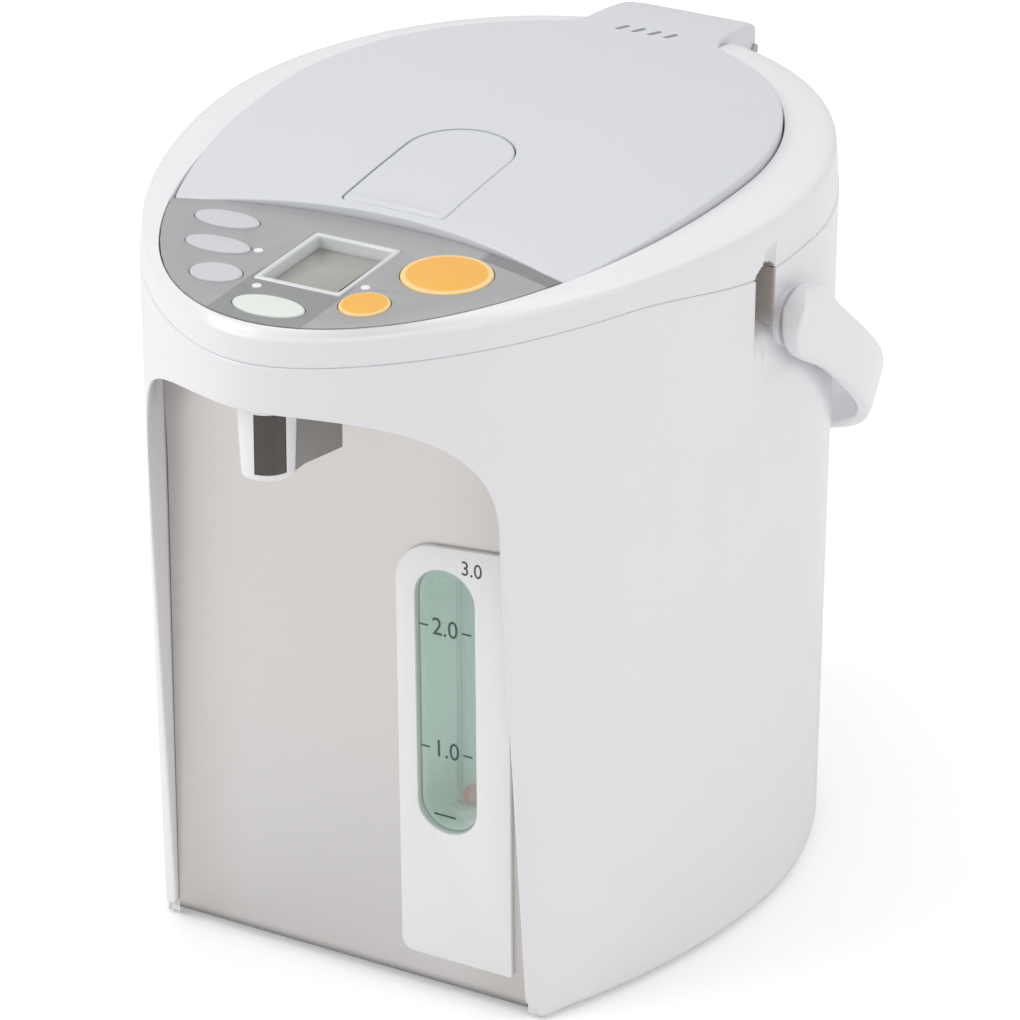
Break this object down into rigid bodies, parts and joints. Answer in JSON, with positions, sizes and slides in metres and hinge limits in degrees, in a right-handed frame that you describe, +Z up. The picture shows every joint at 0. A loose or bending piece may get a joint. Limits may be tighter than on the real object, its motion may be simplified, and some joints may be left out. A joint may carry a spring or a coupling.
{
  "type": "electric thermo pot",
  "caption": "Electric thermo pot with an egg-shaped body, a front niche under a pump spout, a hinged lid with a release flap, a button panel with display, a water gauge and a swing handle.",
  "frame": {"origin": "centre of the whole object's box, at the level that its feet stand on", "axes": "+Z up, +Y towards the rear with the lid hinge and the power inlet, -Y towards the spout, +X to the right of someone who faces the spout"},
  "size_m": [0.2328, 0.3244, 0.2685],
  "materials": {
    "body_white": "glossy moulded plastic",
    "panel_steel": "fine vertical brushing",
    "lid_grey": "semi gloss",
    "control_silver": "satin silver lacquer",
    "button_grey": "satin",
    "button_pale": "satin",
    "button_orange": "satin",
    "frame_bright": "bright lacquer",
    "display_glass": "glossy behind a clear cover",
    "lens_clear": "frosted",
    "window_green": "tinted clear plastic",
    "tube_clear": "clear",
    "float_red": "glossy",
    "spout_smoke": "smoked clear plastic",
    "bridge_grey": "satin",
    "inner_plastic": "as moulded",
    "container_steel": "spun",
    "steel": "drawn",
    "foil": "foil over a fibre core",
    "heater_plate": "pressed",
    "magnet": "ground",
    "silicone": "soft matt",
    "rubber_dark": "matt",
    "black_plastic": "fine texture",
    "brass": "plated",
    "board_green": "lacquered board"
  },
  "bodies": {
    "pot": {"body_shell": "body_white", "shoulder_ring": "body_white", "front_panel": "panel_steel", "gauge_plate": "body_white", "gauge_window": "window_green", "gauge_tube": "tube_clear", "gauge_base": "inner_plastic", "spout_hood": "body_white", "spout_window": "spout_smoke", "spout_bridge": "bridge_grey", "spout_nozzle": "inner_plastic", "control_panel": "control_silver", "control_housing": "inner_plastic", "control_board": "board_green", "key_switches": "black_plastic", "display_frame": "frame_bright", "display_glass": "display_glass", "indicator_lenses": "lens_clear", "inner_container": "container_steel", "container_seal": "silicone", "vacuum_panel": "foil", "heater": "heater_plate", "thermistor": "black_plastic", "pump_housing": "inner_plastic", "pump_cover": "inner_plastic", "pump_axle": "steel", "pump_motor": "steel", "pump_hose": "silicone", "riser_pipe": "silicone", "outlet_pipe": "silicone", "main_board": "board_green", "board_posts": "inner_plastic", "bottom_plate": "inner_plastic", "feet": "rubber_dark", "base_screws": "steel", "power_inlet": "black_plastic", "inlet_pins": "brass", "handle_pivots": "body_white", "hinge_bracket": "inner_plastic", "hinge_pin": "steel"},
    "lid": {"lid_cover": "lid_grey", "lid_frame": "inner_plastic", "inner_lid": "container_steel", "lid_gasket": "silicone", "lid_screws": "steel", "flap_pin": "steel", "flap_spring": "steel"},
    "flap": {"release_flap": "lid_grey"},
    "latch": {"latch_bolt": "inner_plastic"},
    "handle_body": {"handle": "body_white"},
    "float": {"float_ball": "float_red"},
    "rotor": {"motor_shaft": "steel", "drive_magnet": "magnet"},
    "impeller_body": {"impeller": "inner_plastic"},
    "timer_key": {"timer_button": "button_grey"},
    "reboil_key": {"reboil_button": "button_grey"},
    "select_key": {"select_button": "button_grey"},
    "tea_key": {"tea_button": "button_pale"},
    "lock_key": {"lock_button": "button_orange"},
    "dispense_key": {"dispense_button": "button_orange"}
  },
  "joints": [
    {"name": "lid_open", "type": "hinge", "parent": "pot", "child": "lid", "pos_m": [0, 0.15076, 0.2483], "axis": [-1, 0, 0], "range_deg": [0, 80]},
    {"name": "flap_press", "type": "hinge", "parent": "lid", "child": "flap", "pos_m": [0, -0.01674, 0.262], "axis": [1, 0, 0], "range_deg": [0, 3.5], "stiffness_Nm_per_rad": 0.5, "springref_deg": -2.86},
    {"name": "latch_slide", "type": "slide", "parent": "lid", "child": "latch", "axis": [0, 1, 0], "range_m": [0, 0.003]},
    {"name": "handle_swing", "type": "hinge", "parent": "pot", "child": "handle_body", "pos_m": [0, 0.00426, 0.2213], "axis": [1, 0, 0], "range_deg": [0, 125.7]},
    {"name": "float_rise", "type": "slide", "parent": "pot", "child": "float", "axis": [0, 0, 1], "range_m": [0, 0.084]},
    {"name": "rotor_spin", "type": "hinge", "parent": "pot", "child": "rotor", "pos_m": [0.012, -0.03354, 0.016], "axis": [0, 0, 1], "continuous": true},
    {"name": "impeller_spin", "type": "hinge", "parent": "pot", "child": "impeller_body", "pos_m": [0.012, -0.03354, 0.0254], "axis": [0, 0, 1], "continuous": true},
    {"name": "timer_press", "type": "slide", "parent": "pot", "child": "timer_key", "axis": [0, 0, -1], "range_m": [0, 0.0008], "stiffness_N_per_m": 500, "springref_m": -0.0005},
    {"name": "reboil_press", "type": "slide", "parent": "pot", "child": "reboil_key", "axis": [0, 0, -1], "range_m": [0, 0.0008], "stiffness_N_per_m": 500, "springref_m": -0.0005},
    {"name": "select_press", "type": "slide", "parent": "pot", "child": "select_key", "axis": [0, 0, -1], "range_m": [0, 0.0008], "stiffness_N_per_m": 500, "springref_m": -0.0005},
    {"name": "tea_press", "type": "slide", "parent": "pot", "child": "tea_key", "axis": [0, 0, -1], "range_m": [0, 0.0008], "stiffness_N_per_m": 500, "springref_m": -0.0005},
    {"name": "lock_press", "type": "slide", "parent": "pot", "child": "lock_key", "axis": [0, 0, -1], "range_m": [0, 0.0008], "stiffness_N_per_m": 500, "springref_m": -0.0005},
    {"name": "dispense_press", "type": "slide", "parent": "pot", "child": "dispense_key", "axis": [0, 0, -1], "range_m": [0, 0.0008], "stiffness_N_per_m": 500, "springref_m": -0.0005}
  ],
  "couplings": [
    {"joint": "latch_slide", "follows": "flap_press", "m_per_rad": 0.049},
    {"joint": "impeller_spin", "follows": "rotor_spin", "ratio": 1}
  ]
}
